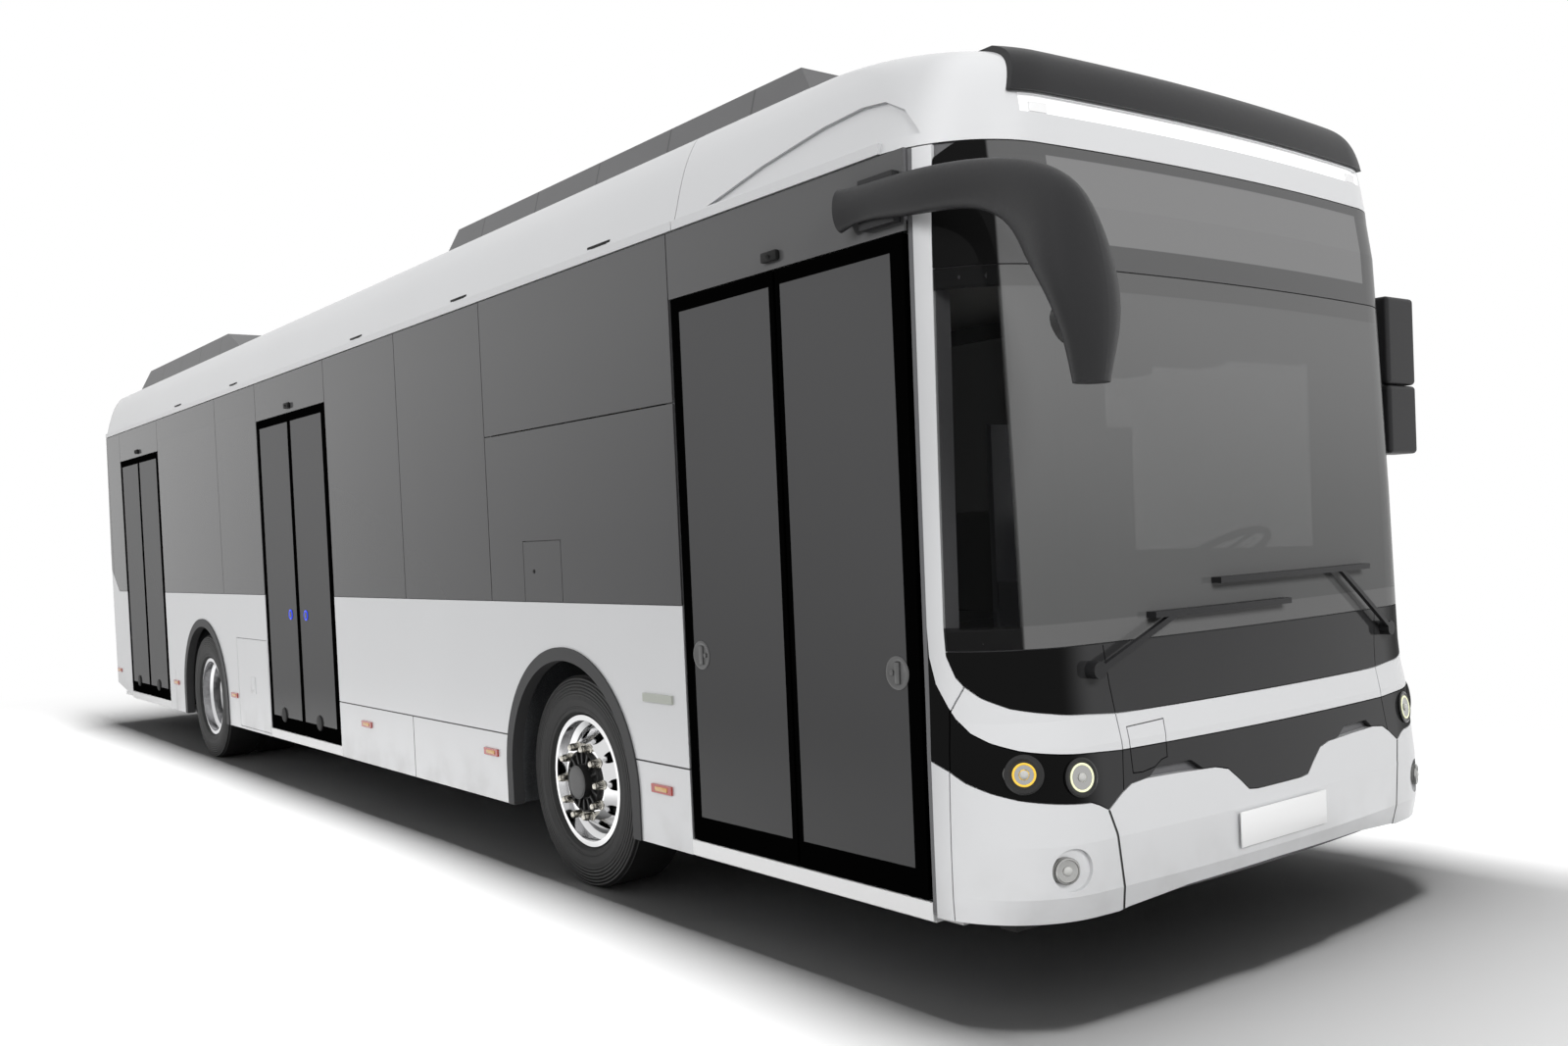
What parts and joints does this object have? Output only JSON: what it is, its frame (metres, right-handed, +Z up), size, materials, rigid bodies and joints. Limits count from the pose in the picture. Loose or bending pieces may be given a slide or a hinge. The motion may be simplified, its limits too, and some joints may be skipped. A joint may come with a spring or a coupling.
{
  "type": "city bus",
  "caption": "Low-floor single-decker city bus with folding double doors, dark window band, roof housings and a hollow cabin.",
  "frame": {"origin": "on the ground at the middle of the overall bounding box", "axes": "+X forwards along the vehicle, +Y to its left, +Z up"},
  "size_m": [12.325, 2.951, 3.3399],
  "materials": {
    "silver_paint": "gloss",
    "wall_paint": "satin",
    "frame_paint": "matt",
    "pod_paint": "satin",
    "dark_glass": "gloss",
    "clear_glass": "gloss",
    "lamp_lens": "gloss",
    "black_panel": "gloss",
    "black_trim": "matt",
    "grey_plastic": "satin",
    "floor_cover": "matt",
    "ceiling_panel": "satin",
    "door_frame": "satin",
    "arm_steel": "satin",
    "pole_paint": "gloss",
    "seat_fabric": "woven",
    "axle_iron": "cast",
    "rod_steel": "machined",
    "bellow_rubber": "matt",
    "arch_rubber": "matt",
    "rim_alloy": "polished",
    "rim_steel": "satin",
    "tyre_rubber": "matt"
  },
  "bodies": {
    "body": {"floor_deck": "floor_cover", "chassis_frame": "frame_paint", "wheel_boxes": "floor_cover", "side_wall_right": "wall_paint", "side_wall_left": "wall_paint", "lower_panels": "silver_paint", "window_glass": "dark_glass", "arch_flares": "arch_rubber", "front_dome": "silver_paint", "roof_panel": "silver_paint", "coves": "silver_paint", "rear_wall": "silver_paint", "bumper": "silver_paint", "front_black_panels": "black_panel", "front_belt": "silver_paint", "windscreen": "clear_glass", "destination_glass": "dark_glass", "front_frame": "wall_paint", "roof_visor": "black_trim", "roof_pods": "pod_paint", "lamps": "lamp_lens", "mirrors": "black_trim", "wipers": "black_trim", "dashboard": "black_trim", "cab_partition": "grey_plastic", "seat_frames": "grey_plastic", "seat_cushions": "seat_fabric", "grab_poles": "pole_paint", "ceiling": "ceiling_panel", "front_axle": "axle_iron", "rear_axle": "axle_iron", "suspension": "bellow_rubber"},
    "knuckle_left": {"knuckle_left": "axle_iron"},
    "wheel_front_left": {"rim_front_left": "rim_alloy", "tyre_front_left": "tyre_rubber"},
    "wheel_rear_left": {"rim_rear_left": "rim_steel", "tyre_rear_left": "tyre_rubber"},
    "knuckle_right": {"knuckle_right": "axle_iron"},
    "wheel_front_right": {"rim_front_right": "rim_alloy", "tyre_front_right": "tyre_rubber"},
    "wheel_rear_right": {"rim_rear_right": "rim_steel", "tyre_rear_right": "tyre_rubber"},
    "tie_rod": {"tie_rod": "rod_steel"},
    "steering_wheel": {"steering_wheel": "black_trim"},
    "door_front_arm_a": {"door_front_arm_a": "arm_steel"},
    "door_front_leaf_a": {"door_front_leaf_a": "door_frame"},
    "door_front_arm_b": {"door_front_arm_b": "arm_steel"},
    "door_front_leaf_b": {"door_front_leaf_b": "door_frame"},
    "door_middle_arm_a": {"door_middle_arm_a": "arm_steel"},
    "door_middle_leaf_a": {"door_middle_leaf_a": "door_frame"},
    "door_middle_arm_b": {"door_middle_arm_b": "arm_steel"},
    "door_middle_leaf_b": {"door_middle_leaf_b": "door_frame"},
    "door_rear_arm_a": {"door_rear_arm_a": "arm_steel"},
    "door_rear_leaf_a": {"door_rear_leaf_a": "door_frame"},
    "door_rear_arm_b": {"door_rear_arm_b": "arm_steel"},
    "door_rear_leaf_b": {"door_rear_leaf_b": "door_frame"},
    "charge_flap": {"charge_flap": "dark_glass"},
    "rear_flap": {"rear_flap": "silver_paint"},
    "cab_door": {"cab_door": "grey_plastic"}
  },
  "joints": [
    {"name": "steer_left", "type": "hinge", "parent": "body", "child": "knuckle_left", "pos_m": [3.065, 0.95, 0.478], "axis": [0, 0, 1], "range_deg": [-45, 45]},
    {"name": "steer_right", "type": "hinge", "parent": "body", "child": "knuckle_right", "pos_m": [3.065, -0.95, 0.478], "axis": [0, 0, 1], "range_deg": [-45, 45]},
    {"name": "spin_front_left", "type": "hinge", "parent": "knuckle_left", "child": "wheel_front_left", "pos_m": [3.065, 1.089, 0.478], "axis": [0, 1, 0], "continuous": true},
    {"name": "spin_rear_left", "type": "hinge", "parent": "body", "child": "wheel_rear_left", "pos_m": [-2.805, 0.9625, 0.478], "axis": [0, 1, 0], "continuous": true},
    {"name": "spin_front_right", "type": "hinge", "parent": "knuckle_right", "child": "wheel_front_right", "pos_m": [3.065, -1.089, 0.478], "axis": [0, 1, 0], "continuous": true},
    {"name": "spin_rear_right", "type": "hinge", "parent": "body", "child": "wheel_rear_right", "pos_m": [-2.805, -0.9625, 0.478], "axis": [0, 1, 0], "continuous": true},
    {"name": "tie_rod_pivot", "type": "hinge", "parent": "knuckle_left", "child": "tie_rod", "pos_m": [2.865, 0.95, 0.272], "axis": [0, 0, 1], "range_deg": [-45, 45]},
    {"name": "steering_wheel_turn", "type": "hinge", "parent": "body", "child": "steering_wheel", "pos_m": [5.17, 0.6, 1.375], "axis": [-0.5, 0, 0.866], "range_deg": [-810, 810]},
    {"name": "front_door_open", "type": "hinge", "parent": "body", "child": "door_front_arm_a", "pos_m": [3.98, -1.179, 1.4], "axis": [0, 0, 1], "range_deg": [0, 85]},
    {"name": "front_door_leaf_a", "type": "hinge", "parent": "door_front_arm_a", "child": "door_front_leaf_a", "pos_m": [4.339, -1.236, 1.4], "axis": [0, 0, 1], "range_deg": [-175, 0]},
    {"name": "front_door_arm_b", "type": "hinge", "parent": "body", "child": "door_front_arm_b", "pos_m": [5.436, -1.179, 1.4], "axis": [0, 0, 1], "range_deg": [-85, 0]},
    {"name": "front_door_leaf_b", "type": "hinge", "parent": "door_front_arm_b", "child": "door_front_leaf_b", "pos_m": [5.077, -1.236, 1.4], "axis": [0, 0, 1], "range_deg": [0, 175]},
    {"name": "middle_door_open", "type": "hinge", "parent": "body", "child": "door_middle_arm_a", "pos_m": [-1.272, -1.179, 1.4], "axis": [0, 0, 1], "range_deg": [0, 85]},
    {"name": "middle_door_leaf_a", "type": "hinge", "parent": "door_middle_arm_a", "child": "door_middle_leaf_a", "pos_m": [-0.913, -1.236, 1.4], "axis": [0, 0, 1], "range_deg": [-175, 0]},
    {"name": "middle_door_arm_b", "type": "hinge", "parent": "body", "child": "door_middle_arm_b", "pos_m": [0.184, -1.179, 1.4], "axis": [0, 0, 1], "range_deg": [-85, 0]},
    {"name": "middle_door_leaf_b", "type": "hinge", "parent": "door_middle_arm_b", "child": "door_middle_leaf_b", "pos_m": [-0.175, -1.236, 1.4], "axis": [0, 0, 1], "range_deg": [0, 175]},
    {"name": "rear_door_open", "type": "hinge", "parent": "body", "child": "door_rear_arm_a", "pos_m": [-5.342, -1.179, 1.4], "axis": [0, 0, 1], "range_deg": [0, 85]},
    {"name": "rear_door_leaf_a", "type": "hinge", "parent": "door_rear_arm_a", "child": "door_rear_leaf_a", "pos_m": [-4.983, -1.236, 1.4], "axis": [0, 0, 1], "range_deg": [-175, 0]},
    {"name": "rear_door_arm_b", "type": "hinge", "parent": "body", "child": "door_rear_arm_b", "pos_m": [-3.886, -1.179, 1.4], "axis": [0, 0, 1], "range_deg": [-85, 0]},
    {"name": "rear_door_leaf_b", "type": "hinge", "parent": "door_rear_arm_b", "child": "door_rear_leaf_b", "pos_m": [-4.245, -1.236, 1.4], "axis": [0, 0, 1], "range_deg": [0, 175]},
    {"name": "charge_flap_open", "type": "hinge", "parent": "body", "child": "charge_flap", "pos_m": [3.055, -1.275, 1.43], "axis": [0, 0, 1], "range_deg": [0, 120]},
    {"name": "rear_flap_open", "type": "hinge", "parent": "body", "child": "rear_flap", "pos_m": [-6.115, 0, 1.049], "axis": [0, 1, 0], "range_deg": [0, 85]},
    {"name": "cab_door_open", "type": "hinge", "parent": "body", "child": "cab_door", "pos_m": [4.279, 0.231, 0.8], "axis": [0, 0, 1], "range_deg": [-95, 0]}
  ],
  "couplings": [
    {"joint": "steer_right", "follows": "steer_left", "ratio": 1},
    {"joint": "tie_rod_pivot", "follows": "steer_left", "ratio": -1},
    {"joint": "steering_wheel_turn", "follows": "steer_left", "ratio": 18},
    {"joint": "front_door_leaf_a", "follows": "front_door_open", "ratio": -2.0588},
    {"joint": "front_door_arm_b", "follows": "front_door_open", "ratio": -1},
    {"joint": "front_door_leaf_b", "follows": "front_door_open", "ratio": 2.0588},
    {"joint": "middle_door_leaf_a", "follows": "middle_door_open", "ratio": -2.0588},
    {"joint": "middle_door_arm_b", "follows": "middle_door_open", "ratio": -1},
    {"joint": "middle_door_leaf_b", "follows": "middle_door_open", "ratio": 2.0588},
    {"joint": "rear_door_leaf_a", "follows": "rear_door_open", "ratio": -2.0588},
    {"joint": "rear_door_arm_b", "follows": "rear_door_open", "ratio": -1},
    {"joint": "rear_door_leaf_b", "follows": "rear_door_open", "ratio": 2.0588}
  ]
}
